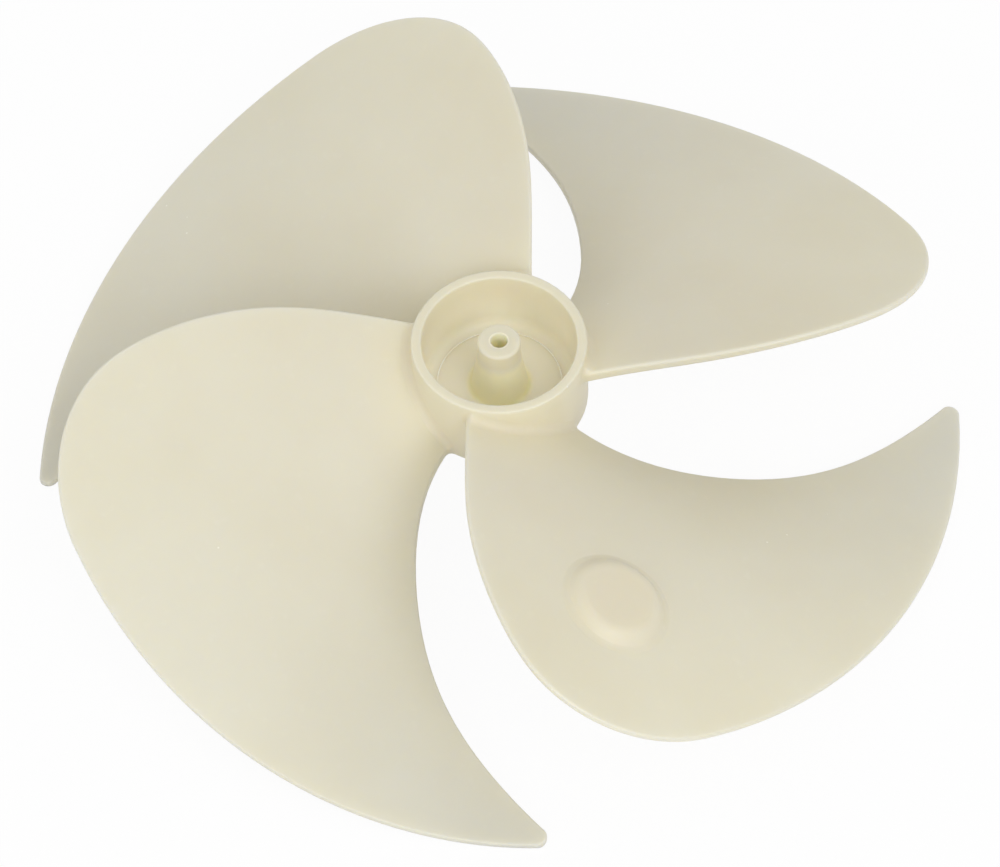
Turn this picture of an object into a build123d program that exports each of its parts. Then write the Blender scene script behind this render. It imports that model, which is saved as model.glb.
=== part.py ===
"""Axial fan impeller for a small refrigeration or ventilation fan: one injection moulding.

A cup-shaped hub carries a bored boss for the motor shaft and four swept, twisted blades. One of
the blades has a round balance pad on its upper face.

Frame: +Z is the rotation axis and points out of the open side of the hub. The origin lies on the
axis at the mouth of the shaft bore, level with the hub's rim. Millimetres and degrees.
"""

from build123d import *
from math import atan2, cos, degrees, hypot, radians, sin
import os

# ---- hub cup -------------------------------------------------------------------------------
HUB_RIM_RADIUS = 16.25
HUB_FLARE = 0.25
HUB_WALL = 1.9
HUB_WALL_DRAFT = 0.4
CUP_DEPTH = 13.2
CUP_CORNER = 2.0
FLOOR_LEDGE = 0.35
FLOOR_STEP = 0.25
BASE_LIFT = 0.1
RIM_EDGE_ROUND = 0.4
BASE_EDGE_ROUND = 0.8

# ---- shaft boss ----------------------------------------------------------------------------
SHAFT_DIAMETER = 3.2
BOSS_TOP_DIAMETER = 8.0
BOSS_FLARE = 1.3
BOSS_STRAIGHT = 3.8
BOSS_TOP_ROUND = 0.6
BOSS_ROOT_ROUND = 0.8
BORE_END_WALL = 3.6

# ---- blades --------------------------------------------------------------------------------
BLADE_COUNT = 4
ROOT_THICKNESS = 2.6
TIP_THICKNESS = 1.5
EDGE_ROUND = 0.45
ROOT_FILLET = 1.6

# Plan of one blade, seen along the axis: its leading side runs along the X axis. The outer side is
# an arc whose start and middle lie inside the circle that the tip sweeps, and the outer points of
# the leading and trailing sides are set in from the tip's radius along X and along Y.
TIP_RADIUS = 87.65
TIP_ANGLE = 96.3
TIP_ROUND = 1.8
OUTER_START_INSET = 2.25
OUTER_START_ANGLE = 24.5
OUTER_MIDDLE_INSET = 2.85
OUTER_MIDDLE_ANGLE = 60.0
LEADING_ROOT_Y = -6.3
LEADING_INNER = [(41.0, -6.2)]
LEADING_OUTER_INSETS = [(23.65, -0.1), (13.85, 6.2)]
TRAILING_ROOT_ANGLE = 54.8
TRAILING_INNER = [(14.1, 22.5), (15.9, 39.2)]
TRAILING_OUTER_INSETS = [(11.5, 28.35), (1.5, 12.45)]

# Mid-surface of one blade, as sections on three cylinders about the axis, from the root outwards:
# their radii, the angles where they start and end, and their heights at start, middle and end.
SECTION_RADII = (16.0, 50.0, 84.0)
SECTION_START_ANGLES = (-25.0, -5.0, 15.0)
SECTION_END_ANGLES = (55.0, 72.5, 90.0)
SECTION_HEIGHTS = ((-4.0, -7.4, -15.4), (3.3, -11.2, -25.7), (-6.7, -26.6, -34.0))
SURFACE_MARGIN = 5.0
SURFACE_OVERSWEEP = 14.0
SURFACE_STEPS = (8, 11)

# ---- balance pad, on the upper face of one blade --------------------------------------------
PAD_BLADE = 3
PAD_CENTRE = (54.0, 20.0)
PAD_DIAMETER = 19.4
PAD_SLOPE = 2.2
PAD_HEIGHT = 1.9
PAD_SINK = 0.8
PAD_EDGE_ROUND = 3.0
PAD_ROOT_ROUND = 2.0


def polar(radius, angle):
    """Plan point at a radius and an angle."""
    return (radius * cos(radians(angle)), radius * sin(radians(angle)))


def parabola(position, stations, values):
    """Value at a position of the parabola that takes three values at three stations."""
    first, middle, last = stations
    at_first, at_middle, at_last = values
    return (
        at_first * (position - middle) * (position - last) / ((first - middle) * (first - last))
        + at_middle * (position - first) * (position - last) / ((middle - first) * (middle - last))
        + at_last * (position - first) * (position - middle) / ((last - first) * (last - middle))
    )


def blade_height(radius, angle):
    """Height of the blade's mid-surface at a radius and an angle."""
    start = parabola(radius, SECTION_RADII, SECTION_START_ANGLES)
    end = parabola(radius, SECTION_RADII, SECTION_END_ANGLES)
    along = (angle - start) / (end - start)
    heights = [parabola(along, (0, 0.5, 1), heights) for heights in SECTION_HEIGHTS]
    return parabola(radius, SECTION_RADII, heights)


def blade_thickness(radius):
    """Thickness of the blade at a radius, measured along the axis."""
    outward = (radius - SECTION_RADII[0]) / (SECTION_RADII[-1] - SECTION_RADII[0])
    return ROOT_THICKNESS + outward * (TIP_THICKNESS - ROOT_THICKNESS)


def blade_surface(share):
    """Blade surface that lies above the middle by a share of the thickness."""
    inner = HUB_RIM_RADIUS - SURFACE_MARGIN
    outer = TIP_RADIUS + SURFACE_MARGIN
    first = SECTION_START_ANGLES[0] - SURFACE_OVERSWEEP
    last = TIP_ANGLE + SURFACE_OVERSWEEP
    rows, columns = SURFACE_STEPS
    grid = []
    for row in range(rows + 1):
        radius = inner + (outer - inner) * row / rows
        line = []
        for column in range(columns + 1):
            angle = first + (last - first) * column / columns
            height = blade_height(radius, angle) + share * blade_thickness(radius)
            line.append((*polar(radius, angle), height))
        grid.append(line)
    return Face.make_surface_from_array_of_points(grid)


def hub_radius(height):
    """Outer radius of the hub at a height."""
    return HUB_RIM_RADIUS - HUB_FLARE * height / hub_height


def on_hub(edge):
    """Whether an edge lies on the outside of the hub, between its rim and its base."""
    points = [edge @ 0, edge @ 0.5, edge @ 1]
    level = all(-hub_height + BASE_EDGE_ROUND / 2 < p.Z < -RIM_EDGE_ROUND for p in points)
    return level and all(abs(hypot(p.X, p.Y) - hub_radius(p.Z)) < EDGE_ROUND / 4 for p in points)


# ---- one blade -----------------------------------------------------------------------------
hub_height = ROOT_THICKNESS / 2 - SECTION_HEIGHTS[0][-1] - BASE_LIFT
embed_radius = HUB_RIM_RADIUS - HUB_WALL / 2
leading_root = ((HUB_RIM_RADIUS**2 - LEADING_ROOT_Y**2) ** 0.5, LEADING_ROOT_Y)
leading_angle = degrees(atan2(LEADING_ROOT_Y, leading_root[0]))
leading_points = LEADING_INNER + [(TIP_RADIUS - inset, y) for inset, y in LEADING_OUTER_INSETS]
trailing_root = polar(HUB_RIM_RADIUS, TRAILING_ROOT_ANGLE)
trailing_points = TRAILING_INNER + [(x, TIP_RADIUS - inset) for x, inset in TRAILING_OUTER_INSETS]
upper_surface = blade_surface(0.5)
lower_surface = blade_surface(-0.5)
floor_level = lower_surface.bounding_box().min.Z - 1
ceiling_level = upper_surface.bounding_box().max.Z + 1

with BuildPart() as blade:
    with BuildSketch(Plane.XY.offset(floor_level)) as plan:
        with BuildLine():
            outer = ThreePointArc(
                polar(TIP_RADIUS - OUTER_START_INSET, OUTER_START_ANGLE),
                polar(TIP_RADIUS - OUTER_MIDDLE_INSET, OUTER_MIDDLE_ANGLE),
                polar(TIP_RADIUS, TIP_ANGLE),
            )
            leading = Spline(leading_root, *leading_points, outer @ 0, tangents=[(1, 0), outer % 0])
            trailing = Spline(outer @ 1, *reversed(trailing_points), trailing_root)
            Line(trailing_root, polar(embed_radius, TRAILING_ROOT_ANGLE))
            ThreePointArc(
                polar(embed_radius, TRAILING_ROOT_ANGLE),
                polar(embed_radius, (TRAILING_ROOT_ANGLE + leading_angle) / 2),
                polar(embed_radius, leading_angle),
            )
            Line(polar(embed_radius, leading_angle), leading_root)
        make_face()
        fillet(plan.vertices().sort_by_distance(outer @ 1)[:1], TIP_ROUND)
    extrude(amount=ceiling_level - floor_level)
    split(bisect_by=upper_surface, keep=Keep.BOTTOM)
    split(bisect_by=lower_surface, keep=Keep.TOP)
    skins = blade.faces().sort_by(SortBy.AREA)[-2:]
    free_edges = skins.edges().filter_by(lambda e: hypot(*tuple(e @ 0.5)[:2]) > HUB_RIM_RADIUS)
    fillet(free_edges, EDGE_ROUND)

# ---- balance pad -----------------------------------------------------------------------------
pad_radius = hypot(*PAD_CENTRE)
pad_angle = degrees(atan2(PAD_CENTRE[1], PAD_CENTRE[0]))
pad_level = blade_height(pad_radius, pad_angle) + blade_thickness(pad_radius) / 2
pad_normal = upper_surface.normal_at((*PAD_CENTRE, pad_level))
pad_plane = Plane((*PAD_CENTRE, pad_level), z_dir=pad_normal if pad_normal.Z > 0 else -pad_normal)
with BuildPart(pad_plane.offset(-PAD_SINK)) as pad:
    Cone(
        bottom_radius=PAD_DIAMETER / 2 + PAD_SLOPE * PAD_SINK / PAD_HEIGHT,
        top_radius=PAD_DIAMETER / 2 - PAD_SLOPE,
        height=PAD_SINK + PAD_HEIGHT,
        align=(Align.CENTER, Align.CENTER, Align.MIN),
    )
    fillet(pad.faces().filter_by(GeomType.PLANE).sort_by(Axis.Z)[-1].edges(), PAD_EDGE_ROUND)

# ---- hub with its boss, and the whole moulding -------------------------------------------------
gap_angle = (TRAILING_ROOT_ANGLE + leading_angle + 360 / BLADE_COUNT) / 2
section_plane = Plane.XZ.rotated((0, 0, gap_angle))
cup_mouth = HUB_RIM_RADIUS - HUB_WALL
cup_foot = cup_mouth - HUB_WALL_DRAFT
cup_floor = -CUP_DEPTH - FLOOR_STEP
step_radius = cup_foot - CUP_CORNER - FLOOR_LEDGE
boss_radius = BOSS_TOP_DIAMETER / 2
bore_radius = SHAFT_DIAMETER / 2
bore_end = BORE_END_WALL - hub_height
corners = {
    "base": (HUB_RIM_RADIUS + HUB_FLARE, -hub_height),
    "rim": (HUB_RIM_RADIUS, 0),
    "mouth": (cup_mouth, 0),
    "foot": (cup_foot, -CUP_DEPTH),
    "ledge": (step_radius, -CUP_DEPTH),
    "step": (step_radius, cup_floor),
    "boss_root": (boss_radius + BOSS_FLARE, cup_floor),
    "boss_waist": (boss_radius, -BOSS_STRAIGHT),
    "boss_top": (boss_radius, 0),
    "bore": (bore_radius, 0),
    "bore_end": (bore_radius, bore_end),
}
rounds = {
    "base": BASE_EDGE_ROUND,
    "rim": RIM_EDGE_ROUND,
    "mouth": RIM_EDGE_ROUND,
    "foot": CUP_CORNER,
    "boss_root": BOSS_ROOT_ROUND,
    "boss_top": BOSS_TOP_ROUND,
}

with BuildPart() as impeller:
    with BuildSketch(section_plane) as section:
        with BuildLine():
            Polyline((0, -hub_height), *corners.values(), (0, bore_end), close=True)
        make_face()
        for corner, radius in rounds.items():
            fillet(section.vertices().sort_by_distance(corners[corner])[:1], radius)
    revolve(axis=Axis.Z)
    with PolarLocations(0, BLADE_COUNT):
        add(blade.part)
    fillet(impeller.edges().filter_by(on_hub), ROOT_FILLET)
    with PolarLocations(0, 1, start_angle=PAD_BLADE * 360 / BLADE_COUNT):
        add(pad.part)
    fillet(impeller.edges(Select.NEW), PAD_ROOT_ROUND)

impeller.part.label = "impeller"
os.makedirs("parts", exist_ok=True)
export_step(impeller.part, "parts/impeller.step")
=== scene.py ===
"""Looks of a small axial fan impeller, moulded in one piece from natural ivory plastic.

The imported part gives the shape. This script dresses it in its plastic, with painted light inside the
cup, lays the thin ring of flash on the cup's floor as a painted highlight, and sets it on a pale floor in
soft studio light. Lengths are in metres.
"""

from __future__ import annotations

import logging
import math
from dataclasses import dataclass
from enum import Enum

import bpy
from mathutils import Matrix, Vector


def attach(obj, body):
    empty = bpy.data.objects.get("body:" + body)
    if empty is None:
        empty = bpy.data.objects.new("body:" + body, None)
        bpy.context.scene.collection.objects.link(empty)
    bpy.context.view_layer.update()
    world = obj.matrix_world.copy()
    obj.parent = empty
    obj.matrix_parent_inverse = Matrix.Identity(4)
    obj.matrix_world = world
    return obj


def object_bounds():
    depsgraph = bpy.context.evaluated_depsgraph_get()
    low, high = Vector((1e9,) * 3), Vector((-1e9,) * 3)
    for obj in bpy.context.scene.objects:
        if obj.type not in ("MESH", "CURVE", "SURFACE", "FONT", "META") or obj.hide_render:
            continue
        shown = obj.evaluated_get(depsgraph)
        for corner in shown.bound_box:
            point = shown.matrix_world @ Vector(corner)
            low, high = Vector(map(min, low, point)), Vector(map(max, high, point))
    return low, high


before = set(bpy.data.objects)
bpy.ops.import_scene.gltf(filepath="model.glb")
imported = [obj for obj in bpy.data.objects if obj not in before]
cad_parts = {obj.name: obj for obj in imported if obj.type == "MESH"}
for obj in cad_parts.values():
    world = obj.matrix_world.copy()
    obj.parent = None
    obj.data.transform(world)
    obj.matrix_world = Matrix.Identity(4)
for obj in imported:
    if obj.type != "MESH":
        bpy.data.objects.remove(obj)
cad_low, cad_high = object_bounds()

MM = 0.001

Colour = tuple[int, int, int]
WHITE: Colour = (255, 255, 255)
PLASTIC_IOR = 1.47

log = logging.getLogger("impeller")


class MathStep(Enum):
    """Operations of a Math node that the finishes use."""

    ADD = "ADD"
    SUBTRACT = "SUBTRACT"
    MULTIPLY = "MULTIPLY"
    POWER = "POWER"
    MAXIMUM = "MAXIMUM"


def linear(red: int, green: int, blue: int) -> tuple[float, float, float, float]:
    """Turns a colour in 8-bit display values into linear values.

    Args:
        red: Red, from 0 to 255.
        green: Green, from 0 to 255.
        blue: Blue, from 0 to 255.

    Returns:
        The linear colour with an alpha of 1.
    """

    def channel(value: int) -> float:
        """Linear value of one display channel."""
        share = value / 255
        return share / 12.92 if share <= 0.04045 else ((share + 0.055) / 1.055) ** 2.4

    return (channel(red), channel(green), channel(blue), 1.0)


class Sheet:
    """The node tree of one material or world, with the calls that add nodes to it."""

    def __init__(self, owner: bpy.types.Material | bpy.types.World) -> None:
        """Empties the node tree of a material or world.

        Args:
            owner: The material or world.
        """
        owner.use_nodes = True
        self.owner = owner
        self.tree = owner.node_tree
        self.tree.nodes.clear()

    def node(
        self,
        kind: str,
        settings: dict[str, object] | None = None,
        inputs: dict[str | int, object] | None = None,
    ) -> bpy.types.Node:
        """Adds a node, sets it and fills its sockets.

        Args:
            kind: Blender's name for the node's type.
            settings: Attributes that are set before the sockets are filled.
            inputs: Values, fields or links, by socket name or number.

        Returns:
            The new node.
        """
        made = self.tree.nodes.new(kind)
        for name, value in (settings or {}).items():
            setattr(made, name, value)
        for key, value in (inputs or {}).items():
            socket = made.inputs[key]
            if isinstance(value, Field):
                self.tree.links.new(value.socket, socket)
            elif isinstance(value, bpy.types.NodeSocket):
                self.tree.links.new(value, socket)
            else:
                socket.default_value = value
        return made

    def field(self, socket: bpy.types.NodeSocket) -> Field:
        """Wraps a socket for use in expressions."""
        return Field(self, socket)

    def place(self) -> bpy.types.NodeSocket:
        """Point on the object in its own coordinates."""
        return self.node("ShaderNodeTexCoord").outputs["Object"]

    def noise(self, place: bpy.types.NodeSocket, scale: float, detail: float = 2.0) -> Field:
        """Adds a noise texture.

        Args:
            place: Coordinates of the texture.
            scale: Cells in a metre.
            detail: Number of finer layers.

        Returns:
            The noise, from 0 to 1.
        """
        made = self.node("ShaderNodeTexNoise", {}, {"Vector": place, "Scale": scale, "Detail": detail})
        return self.field(made.outputs[0])

    def blend(
        self, share: Field, below: bpy.types.NodeSocket | Colour, above: Colour
    ) -> bpy.types.NodeSocket:
        """Mixes two colours.

        Args:
            share: Share of the second colour.
            below: Colour where the share is 0, or the socket that gives it.
            above: Colour where the share is 1.

        Returns:
            The colour's socket.
        """
        base = linear(*below) if isinstance(below, tuple) else below
        made = self.node("ShaderNodeMix", {"data_type": "RGBA"}, {0: share, 6: base, 7: linear(*above)})
        return made.outputs[2]

    def seen(self) -> Field:
        """Is 1 where the camera sees the surface, straight, in a gloss or through glass."""
        path = self.node("ShaderNodeLightPath").outputs
        straight, gloss, glass = (
            self.field(path[name]) for name in ("Is Camera Ray", "Is Glossy Ray", "Is Transmission Ray")
        )
        return straight.larger(gloss).larger(glass)

    def finish(self, surface: bpy.types.NodeSocket) -> bpy.types.Material | bpy.types.World:
        """Links the surface to the output and returns the owner."""
        world = isinstance(self.owner, bpy.types.World)
        kind = "ShaderNodeOutputWorld" if world else "ShaderNodeOutputMaterial"
        self.node(kind, {}, {"Surface": surface})
        return self.owner


class Field:
    """A number that varies over a surface, as a socket with arithmetic."""

    def __init__(self, sheet: Sheet, socket: bpy.types.NodeSocket) -> None:
        """Wraps a socket.

        Args:
            sheet: Node tree that the socket belongs to.
            socket: The socket with the number.
        """
        self.sheet = sheet
        self.socket = socket

    def _step(self, step: MathStep, first: Field | float, second: Field | float = 0.0) -> Field:
        """Adds a Math node.

        Args:
            step: The operation.
            first: Its first value.
            second: Its second value.

        Returns:
            The result.
        """
        made = self.sheet.node("ShaderNodeMath", {"operation": step.value}, {0: first, 1: second})
        return Field(self.sheet, made.outputs[0])

    def __add__(self, other: Field | float) -> Field:
        """Sum."""
        return self._step(MathStep.ADD, self, other)

    __radd__ = __add__

    def __sub__(self, other: Field | float) -> Field:
        """Difference."""
        return self._step(MathStep.SUBTRACT, self, other)

    def __rsub__(self, other: Field | float) -> Field:
        """Difference, from a plain number."""
        return self._step(MathStep.SUBTRACT, other, self)

    def __mul__(self, other: Field | float) -> Field:
        """Product."""
        return self._step(MathStep.MULTIPLY, self, other)

    __rmul__ = __mul__

    def __pow__(self, other: Field | float) -> Field:
        """Power."""
        return self._step(MathStep.POWER, self, other)

    def larger(self, other: Field | float) -> Field:
        """The larger of two numbers."""
        return self._step(MathStep.MAXIMUM, self, other)

    def fade(self, size: float, ends: tuple[float, float]) -> Field:
        """Smooth step between two multiples of a size, 0 at the first and 1 at the second."""
        start, end = ends
        return self.rise(size * start, size * end)

    def rise(self, start: float, end: float) -> Field:
        """Smooth step from 0 to 1, or from 1 to 0 where start is above end.

        Args:
            start: Value where the step starts.
            end: Value where the step ends.

        Returns:
            The step.
        """
        low, high, first, last = (start, end, 0.0, 1.0) if start < end else (end, start, 1.0, 0.0)
        made = self.sheet.node(
            "ShaderNodeMapRange",
            {"interpolation_type": "SMOOTHSTEP"},
            {0: self, 1: low, 2: high, 3: first, 4: last},
        )
        return Field(self.sheet, made.outputs[0])


@dataclass(frozen=True)
class NaturalPlastic:
    """Natural ivory plastic: slightly milky, satin, and yellower where the wall is thick; lighter inside
    the cup, on the boss's foot and in the bore as painted light that stands for light carried through the
    walls, with pale dots as painted glints.
    """

    thin: Colour = (225, 220, 203)
    cloud: Colour = (222, 216, 197)
    thick: Colour = (229, 222, 199)
    # Painted light: the cup, the boss's foot and the bore are coloured lighter than the blades, standing
    # for light carried through the walls; the boss's foot also has the yellower tone of thick plastic.
    cup_painted_glow: Colour = (250, 244, 227)
    boss_tone_and_glow: Colour = (255, 244, 208)
    bore_painted_glow: Colour = (255, 246, 216)
    # Pale dots of this colour are painted glints; the same colour gives the faint random mottle.
    glint_and_mottle: Colour = (248, 245, 234)
    hub_radius: float = 16.5 * MM
    wall: float = 1.9 * MM
    boss_radius: float = 5.3 * MM
    boss_straight: float = 3.8 * MM
    bore_radius: float = 1.6 * MM
    cup_depth: float = 13.45 * MM
    pad_centre: tuple[float, float] = (20.0 * MM, -54.0 * MM)
    pad_radius: float = 9.7 * MM
    hub_fade: tuple[float, float] = (1.9, 0.95)
    pad_fade: tuple[float, float] = (1.15, 0.6)
    pad_share: float = 0.8
    # Where the painted light in the cup, on the boss's foot and in the bore fades in, and how strong it
    # is.
    cup_glow_fade: tuple[float, float] = (0.0, 0.8)
    cup_glow_share: float = 0.8
    boss_glow_fade: tuple[float, float] = (1.25, 1.0)
    boss_foot_glow_fade: tuple[float, float] = (1.0, 1.6)
    bore_glow_fade: tuple[float, float] = (1.25, 1.1)
    cloud_scale: float = 30.0
    cloud_fade: tuple[float, float] = (0.3, 0.7)
    mottle_scale: float = 420.0
    mottle_fade: tuple[float, float] = (0.6, 0.78)
    mottle_share: float = 0.05
    # Size, number and strength of the painted glints.
    glint_scale: float = 250.0
    glint_radius: float = 0.25 * MM
    glint_count: float = 0.12
    glint_share: float = 0.7
    roughness: float = 0.3
    roughness_spread: float = 0.12
    roughness_scale: float = 90.0
    grain_scale: float = 1500.0
    grain_share: float = 0.3
    wave_scale: float = 140.0
    bump_strength: float = 0.05
    bump_height: float = 0.4 * MM
    milky_share: float = 0.75
    milky_reach: tuple[float, float, float] = (1.0, 0.88, 0.6)
    milky_depth: float = 5.0 * MM

    def colour(self, sheet: Sheet, place: bpy.types.NodeSocket) -> bpy.types.NodeSocket:
        """Colour of the plastic: thin blades, thick hub and pad, painted light that makes the deep cup,
        the boss's foot and the bore lighter, and pale dots painted as glints.

        Args:
            sheet: Material that takes the nodes.
            place: Coordinates on the part.

        Returns:
            The colour's socket.
        """
        parts = sheet.node("ShaderNodeSeparateXYZ", {}, {0: place})
        x, y, z = (sheet.field(part) for part in parts.outputs)
        radius = (x * x + y * y) ** 0.5
        pad_x, pad_y = self.pad_centre
        pad_reach = ((x - pad_x) * (x - pad_x) + (y - pad_y) * (y - pad_y)) ** 0.5
        hub = radius.fade(self.hub_radius, self.hub_fade)
        pad = pad_reach.fade(self.pad_radius, self.pad_fade) * self.pad_share
        # Painted light: masks of the lighter cup, boss foot and bore.
        inside = radius.rise(self.hub_radius - 0.7 * self.wall, self.hub_radius - 1.4 * self.wall)
        cup_painted_glow = inside * z.fade(-self.cup_depth, self.cup_glow_fade) * self.cup_glow_share
        boss_tone_and_glow = radius.fade(self.boss_radius, self.boss_glow_fade)
        boss_foot_tone_and_glow = boss_tone_and_glow * z.fade(-self.boss_straight, self.boss_foot_glow_fade)
        bore_painted_glow = radius.fade(self.bore_radius, self.bore_glow_fade)

        clouds = sheet.noise(place, self.cloud_scale, 3.0).rise(*self.cloud_fade)
        colour = sheet.blend(clouds, self.thin, self.cloud)
        layers = (
            (hub.larger(pad), self.thick),
            (cup_painted_glow, self.cup_painted_glow),
            (boss_foot_tone_and_glow, self.boss_tone_and_glow),
            (bore_painted_glow, self.bore_painted_glow),
            (self.glints_and_mottle(sheet, place), self.glint_and_mottle),
        )
        for share, above in layers:
            colour = sheet.blend(share, colour, above)
        return colour

    def glints_and_mottle(self, sheet: Sheet, place: bpy.types.NodeSocket) -> Field:
        """Few tiny pale dots that paint small glints, over a faint random mottle of the same colour.

        Args:
            sheet: Material that takes the nodes.
            place: Coordinates on the part.

        Returns:
            The share of the speck's colour.
        """
        cells = sheet.node("ShaderNodeTexVoronoi", {}, {"Vector": place, "Scale": self.glint_scale})
        draw = sheet.node("ShaderNodeSeparateColor", {}, {0: cells.outputs["Color"]})
        pick = sheet.field(draw.outputs[0])
        reach = self.glint_radius * self.glint_scale
        # Painted glints: pale dots in a few cells.
        glint_spot = sheet.field(cells.outputs["Distance"]).rise(reach, reach * 0.5)
        chosen = pick.rise(self.glint_count * 1.05, self.glint_count)
        mottle = sheet.noise(place, self.mottle_scale).rise(*self.mottle_fade) * self.mottle_share
        return mottle.larger(glint_spot * chosen * self.glint_share)

    def material(self) -> bpy.types.Material:
        """Builds the material.

        Returns:
            The finished material.
        """
        sheet = Sheet(bpy.data.materials.new("natural_plastic"))
        place = sheet.place()
        grain = sheet.noise(place, self.grain_scale, 3.0) * self.grain_share
        wave = sheet.noise(place, self.wave_scale)
        bump = sheet.node(
            "ShaderNodeBump",
            {},
            {"Strength": self.bump_strength, "Distance": self.bump_height, "Height": grain + wave},
        )
        satin = sheet.noise(place, self.roughness_scale) * self.roughness_spread + self.roughness
        plastic = sheet.node(
            "ShaderNodeBsdfPrincipled",
            {},
            {
                "Base Color": self.colour(sheet, place),
                "Roughness": satin,
                "Normal": bump.outputs[0],
                "IOR": PLASTIC_IOR,
                "Subsurface Weight": self.milky_share,
                "Subsurface Radius": self.milky_reach,
                "Subsurface Scale": self.milky_depth,
            },
        )
        return sheet.finish(plastic.outputs[0])


@dataclass(frozen=True)
class FlashPaintedHighlight:
    """Thin flash of the same plastic, coloured near-white as a painted highlight of light caught on its
    edge.
    """

    # Painted highlight: both colours are near-white, so the ring shows as light caught on the step's
    # edge.
    light: Colour = (255, 254, 248)
    dim_highlight: Colour = (250, 245, 228)
    patch_scale: float = 260.0
    roughness: float = 0.32
    roughness_spread: float = -0.1

    def material(self) -> bpy.types.Material:
        """Builds the material.

        Returns:
            The finished material.
        """
        sheet = Sheet(bpy.data.materials.new("flash_painted_highlight"))
        patch = sheet.noise(sheet.place(), self.patch_scale).rise(0.35, 0.6)
        flash = sheet.node(
            "ShaderNodeBsdfPrincipled",
            {},
            {
                "Base Color": sheet.blend(patch, self.dim_highlight, self.light),
                "Roughness": patch * self.roughness_spread + self.roughness,
                "IOR": PLASTIC_IOR,
            },
        )
        return sheet.finish(flash.outputs[0])


@dataclass(frozen=True)
class PaleFloor:
    """White floor that runs into the white background and keeps a soft shadow."""

    colour: Colour = (250, 250, 250)
    clean: float = 0.94

    def material(self) -> bpy.types.Material:
        """Builds the material.

        Returns:
            The finished material.
        """
        sheet = Sheet(bpy.data.materials.new("pale_floor"))
        matt = sheet.node("ShaderNodeBsdfDiffuse", {}, {"Color": linear(*self.colour)})
        glow = sheet.node("ShaderNodeEmission", {}, {"Color": linear(*WHITE), "Strength": 1.0})
        share = sheet.seen() * self.clean
        mixed = sheet.node("ShaderNodeMixShader", {}, {0: share, 1: matt.outputs[0], 2: glow.outputs[0]})
        return sheet.finish(mixed.outputs[0])


@dataclass(frozen=True)
class PaleSky:
    """Even pale surroundings that are white to the camera."""

    ambient: float = 0.65

    def world(self) -> bpy.types.World:
        """Builds the world.

        Returns:
            The finished world.
        """
        sheet = Sheet(bpy.data.worlds.new("studio"))
        strength = sheet.seen() * (1.0 - self.ambient) + self.ambient
        glow = sheet.node("ShaderNodeBackground", {}, {"Color": linear(*WHITE), "Strength": strength})
        return sheet.finish(glow.outputs[0])


@dataclass
class MouldedImpeller:
    """The one-piece impeller: hub cup, shaft boss, four blades and balance pad."""

    node: str = "impeller"
    finish: NaturalPlastic = NaturalPlastic()

    def dress(self) -> bpy.types.Object:
        """Gives the moulding its plastic.

        Returns:
            The dressed moulding.
        """
        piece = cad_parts[self.node]
        piece.data.materials.clear()
        piece.data.materials.append(self.finish.material())
        log.info("%s: %d faces", piece.name, len(piece.data.polygons))
        return piece


@dataclass
class FloorRing:
    """Thin ring of flash on the edge of the step in the cup's floor, whose near-white finish is a painted
    highlight along that edge.
    """

    radius: float = 11.6 * MM
    level: float = -13.15 * MM
    tube_radius: float = 0.2 * MM
    even_share: float = 0.7
    slow_swell: tuple[float, int, float] = (0.2, 3, 0.6)
    quick_swell: tuple[float, int, float] = (0.1, 11, 0.0)
    steps: int = 240
    sides: int = 8
    finish: FlashPaintedHighlight = FlashPaintedHighlight()

    def swell(self, angle: float) -> float:
        """Share of the full tube radius at an angle, because flash is never even."""
        waves = (self.slow_swell, self.quick_swell)
        return self.even_share + sum(rise * math.sin(count * angle + turn) for rise, count, turn in waves)

    def mesh(self) -> bpy.types.Mesh:
        """Builds the ring as a closed tube of varying radius.

        Returns:
            The mesh.
        """
        points, faces = [], []
        for step in range(self.steps):
            angle = math.tau * step / self.steps
            tube = self.tube_radius * self.swell(angle)
            for side in range(self.sides):
                turn = math.tau * side / self.sides
                reach = self.radius + tube * math.cos(turn)
                height = self.level + tube * math.sin(turn)
                points.append((reach * math.cos(angle), reach * math.sin(angle), height))
                here, ahead = step * self.sides, (step + 1) % self.steps * self.sides
                beside = (side + 1) % self.sides
                faces.append((here + side, ahead + side, ahead + beside, here + beside))
        mesh = bpy.data.meshes.new("floor_ring")
        mesh.from_pydata(points, [], faces)
        mesh.shade_smooth()
        return mesh

    def dress(self) -> bpy.types.Object:
        """Places the ring in the cup and gives it its finish.

        Returns:
            The ring.
        """
        piece = bpy.data.objects.new("floor_ring", self.mesh())
        piece.data.materials.append(self.finish.material())
        bpy.context.scene.collection.objects.link(piece)
        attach(piece, "root")
        log.info("%s: radius %.1f mm", piece.name, self.radius / MM)
        return piece


@dataclass(frozen=True)
class SoftLamp:
    """Square soft lamp that faces the part."""

    name: str
    place: tuple[float, float, float]
    width: float
    power: float

    def hang(self) -> None:
        """Hangs the lamp."""
        data = bpy.data.lights.new(self.name, "AREA")
        data.size = self.width
        data.energy = self.power
        made = bpy.data.objects.new(self.name, data)
        made.location = self.place
        made.rotation_euler = (-Vector(self.place)).to_track_quat("-Z", "Y").to_euler()
        bpy.context.scene.collection.objects.link(made)


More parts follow.
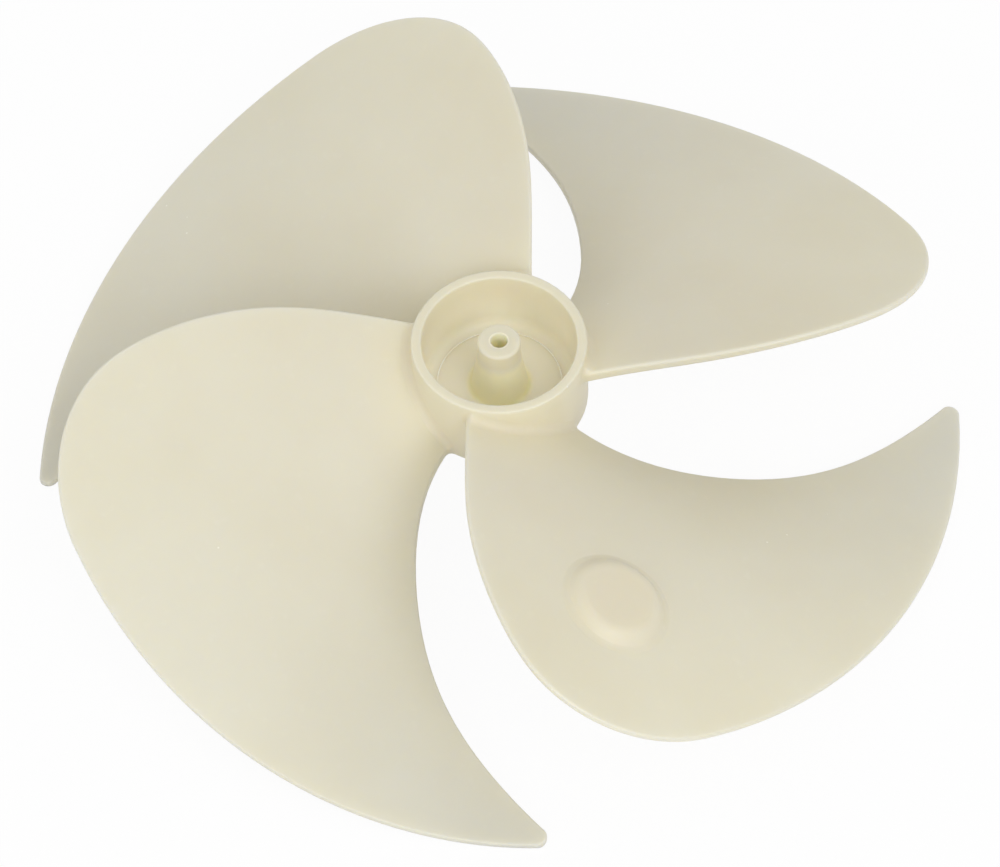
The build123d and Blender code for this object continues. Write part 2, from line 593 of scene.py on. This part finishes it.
@dataclass
class Studio:
    """Floor, lamps and surroundings."""

    floor_width: float = 6.0
    floor_finish: PaleFloor = PaleFloor()
    sky: PaleSky = PaleSky()
    lamps: tuple[SoftLamp, ...] = (
        SoftLamp("key", (0.55, -0.8, 1.1), 0.9, 5.6),
        SoftLamp("front", (-0.5, -1.0, 0.6), 0.7, 2.8),
    )

    def floor(self) -> bpy.types.Object:
        """Lays the floor under the lowest point of the part.

        Returns:
            The floor.
        """
        half = self.floor_width / 2
        corners = [(-half, -half), (half, -half), (half, half), (-half, half)]
        mesh = bpy.data.meshes.new("floor")
        mesh.from_pydata([(x, y, cad_low.z) for x, y in corners], [], [(0, 1, 2, 3)])
        mesh.materials.append(self.floor_finish.material())
        made = bpy.data.objects.new("floor", mesh)
        bpy.context.scene.collection.objects.link(made)
        return made

    def build(self) -> None:
        """Builds the whole studio."""
        self.floor()
        bpy.context.scene.world = self.sky.world()
        for lamp in self.lamps:
            lamp.hang()
        log.info("studio ready: %d lamps", len(self.lamps))


@dataclass
class StudioCamera:
    """Camera that looks down on the open side of the hub from the front."""

    image: tuple[int, int] = (1000, 867)
    sensor: float = 36.0
    hub_pixel: tuple[float, float] = (499.0, 340.7)
    pixels_per_metre: float = 5445.5
    distance: float = 0.906
    elevation: float = 55.39
    roll: float = 1.02

    def build(self) -> bpy.types.Object:
        """Builds the camera and makes it the scene's own.

        Returns:
            The camera.
        """
        tilt, turn = math.radians(self.elevation), math.radians(self.roll)
        forward = Vector((0, math.cos(tilt), -math.sin(tilt)))
        level_down = Vector((0, -math.sin(tilt), -math.cos(tilt)))
        level_right = Vector((1, 0, 0))
        right = math.cos(turn) * level_right + math.sin(turn) * level_down
        down = math.cos(turn) * level_down - math.sin(turn) * level_right
        width, height = self.image
        across = (self.hub_pixel[0] - width / 2) / self.pixels_per_metre
        below = (self.hub_pixel[1] - height / 2) / self.pixels_per_metre
        data = bpy.data.cameras.new("camera")
        data.sensor_width = self.sensor
        data.lens = self.pixels_per_metre * self.distance / width * self.sensor
        data.clip_start = 0.05
        made = bpy.data.objects.new("camera", data)
        axes = Matrix((right, -down, -forward)).transposed()
        made.matrix_world = Matrix.Translation(
            -(right * across + down * below + forward * self.distance)
        ) @ axes.to_4x4()
        bpy.context.scene.collection.objects.link(made)
        bpy.context.scene.camera = made
        return made


def main() -> None:
    """Dresses the part, builds the studio and notes the sizes."""
    logging.basicConfig(level=logging.INFO, format="%(name)s: %(message)s")
    bpy.context.scene.view_settings.view_transform = "Standard"
    MouldedImpeller().dress()
    FloorRing().dress()
    Studio().build()
    StudioCamera().build()


if __name__ == "__main__":
    main()
